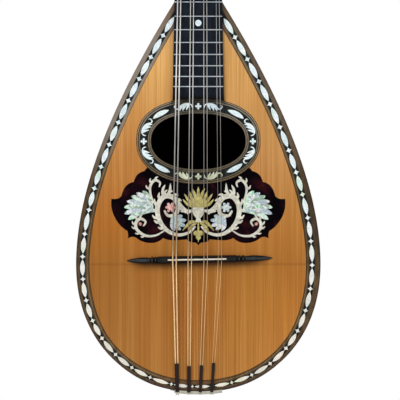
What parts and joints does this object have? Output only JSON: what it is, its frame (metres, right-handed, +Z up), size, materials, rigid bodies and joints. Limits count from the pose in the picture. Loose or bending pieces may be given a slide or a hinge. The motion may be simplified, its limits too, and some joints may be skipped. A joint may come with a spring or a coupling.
{
  "type": "bowl-back mandocello",
  "caption": "Bowl-back plucked string instrument with a pear-shaped canted soundboard, oval sound hole, fretted neck and worm-geared tuning keys.",
  "frame": {"origin": "on the centre line, where the nut meets the fingerboard, in the plane of the soundboard's outer face", "axes": "+Z up the neck towards the head, -Y out of the soundboard towards the player's hand, +X to the right seen from the front"},
  "size_m": [0.3246, 0.1994, 0.9663],
  "materials": {
    "spruce": "satin",
    "rosewood": "gloss",
    "neck_wood": "satin",
    "inner_wood": "matte",
    "ebony": "satin",
    "edge_inlay": "gloss",
    "tortoiseshell": "gloss",
    "bone": "satin",
    "string_steel": "polished",
    "string_bronze": "satin",
    "nickel": "polished",
    "brass": "satin"
  },
  "bodies": {
    "instrument": {"bowl_rib_1": "rosewood", "bowl_rib_2": "rosewood", "bowl_rib_3": "rosewood", "bowl_rib_4": "rosewood", "bowl_rib_5": "rosewood", "bowl_rib_6": "rosewood", "bowl_rib_7": "rosewood", "bowl_rib_8": "rosewood", "bowl_rib_9": "rosewood", "bowl_rib_10": "rosewood", "bowl_rib_11": "rosewood", "bowl_rib_12": "rosewood", "bowl_rib_13": "rosewood", "soundboard": "spruce", "edge_binding": "rosewood", "edge_purfling": "edge_inlay", "rosette": "edge_inlay", "pickguard": "tortoiseshell", "rim_lining": "inner_wood", "neck_block": "inner_wood", "tail_block": "inner_wood", "end_clasp": "rosewood", "string_rest": "bone", "tailpiece": "nickel", "soundboard_brace_1": "inner_wood", "soundboard_brace_2": "inner_wood", "soundboard_brace_3": "inner_wood", "end_button": "ebony", "bridge": "ebony", "saddle": "bone", "neck": "neck_wood", "fingerboard": "ebony", "nut": "bone", "head_veneer": "rosewood", "machine_plate_left": "brass", "machine_plate_right": "brass", "string_1": "string_bronze", "string_2": "string_bronze", "string_3": "string_bronze", "string_4": "string_bronze", "string_5": "string_steel", "string_6": "string_steel", "string_7": "string_steel", "string_8": "string_steel"},
    "key_1": {"tuning_key_1": "bone"},
    "post_1": {"string_post_1": "nickel"},
    "key_2": {"tuning_key_2": "bone"},
    "post_2": {"string_post_2": "nickel"},
    "key_3": {"tuning_key_3": "bone"},
    "post_3": {"string_post_3": "nickel"},
    "key_4": {"tuning_key_4": "bone"},
    "post_4": {"string_post_4": "nickel"},
    "key_5": {"tuning_key_5": "bone"},
    "post_5": {"string_post_5": "nickel"},
    "key_6": {"tuning_key_6": "bone"},
    "post_6": {"string_post_6": "nickel"},
    "key_7": {"tuning_key_7": "bone"},
    "post_7": {"string_post_7": "nickel"},
    "key_8": {"tuning_key_8": "bone"},
    "post_8": {"string_post_8": "nickel"}
  },
  "joints": [
    {"name": "key_1_turn", "type": "hinge", "parent": "instrument", "child": "key_1", "pos_m": [-0.03, 0.03171, 0.04603], "axis": [1, 0, 0], "continuous": true},
    {"name": "post_1_turn", "type": "hinge", "parent": "instrument", "child": "post_1", "pos_m": [-0.03, 0.00919, 0.04287], "axis": [0, 0.9703, -0.2419], "continuous": true},
    {"name": "key_2_turn", "type": "hinge", "parent": "instrument", "child": "key_2", "pos_m": [-0.03, 0.0397, 0.07805], "axis": [1, 0, 0], "continuous": true},
    {"name": "post_2_turn", "type": "hinge", "parent": "instrument", "child": "post_2", "pos_m": [-0.03, 0.01718, 0.07489], "axis": [0, 0.9703, -0.2419], "continuous": true},
    {"name": "key_3_turn", "type": "hinge", "parent": "instrument", "child": "key_3", "pos_m": [-0.03, 0.04768, 0.11007], "axis": [1, 0, 0], "continuous": true},
    {"name": "post_3_turn", "type": "hinge", "parent": "instrument", "child": "post_3", "pos_m": [-0.03, 0.02516, 0.10691], "axis": [0, 0.9703, -0.2419], "continuous": true},
    {"name": "key_4_turn", "type": "hinge", "parent": "instrument", "child": "key_4", "pos_m": [-0.03, 0.05566, 0.14209], "axis": [1, 0, 0], "continuous": true},
    {"name": "post_4_turn", "type": "hinge", "parent": "instrument", "child": "post_4", "pos_m": [-0.03, 0.03314, 0.13893], "axis": [0, 0.9703, -0.2419], "continuous": true},
    {"name": "key_5_turn", "type": "hinge", "parent": "instrument", "child": "key_5", "pos_m": [0.03, 0.05566, 0.14209], "axis": [1, 0, 0], "continuous": true},
    {"name": "post_5_turn", "type": "hinge", "parent": "instrument", "child": "post_5", "pos_m": [0.03, 0.03314, 0.13893], "axis": [0, 0.9703, -0.2419], "continuous": true},
    {"name": "key_6_turn", "type": "hinge", "parent": "instrument", "child": "key_6", "pos_m": [0.03, 0.04768, 0.11007], "axis": [1, 0, 0], "continuous": true},
    {"name": "post_6_turn", "type": "hinge", "parent": "instrument", "child": "post_6", "pos_m": [0.03, 0.02516, 0.10691], "axis": [0, 0.9703, -0.2419], "continuous": true},
    {"name": "key_7_turn", "type": "hinge", "parent": "instrument", "child": "key_7", "pos_m": [0.03, 0.0397, 0.07805], "axis": [1, 0, 0], "continuous": true},
    {"name": "post_7_turn", "type": "hinge", "parent": "instrument", "child": "post_7", "pos_m": [0.03, 0.01718, 0.07489], "axis": [0, 0.9703, -0.2419], "continuous": true},
    {"name": "key_8_turn", "type": "hinge", "parent": "instrument", "child": "key_8", "pos_m": [0.03, 0.03171, 0.04603], "axis": [1, 0, 0], "continuous": true},
    {"name": "post_8_turn", "type": "hinge", "parent": "instrument", "child": "post_8", "pos_m": [0.03, 0.00919, 0.04287], "axis": [0, 0.9703, -0.2419], "continuous": true}
  ],
  "couplings": [
    {"joint": "post_1_turn", "follows": "key_1_turn", "ratio": -0.071429},
    {"joint": "post_2_turn", "follows": "key_2_turn", "ratio": -0.071429},
    {"joint": "post_3_turn", "follows": "key_3_turn", "ratio": -0.071429},
    {"joint": "post_4_turn", "follows": "key_4_turn", "ratio": -0.071429},
    {"joint": "post_5_turn", "follows": "key_5_turn", "ratio": 0.071429},
    {"joint": "post_6_turn", "follows": "key_6_turn", "ratio": 0.071429},
    {"joint": "post_7_turn", "follows": "key_7_turn", "ratio": 0.071429},
    {"joint": "post_8_turn", "follows": "key_8_turn", "ratio": 0.071429}
  ]
}
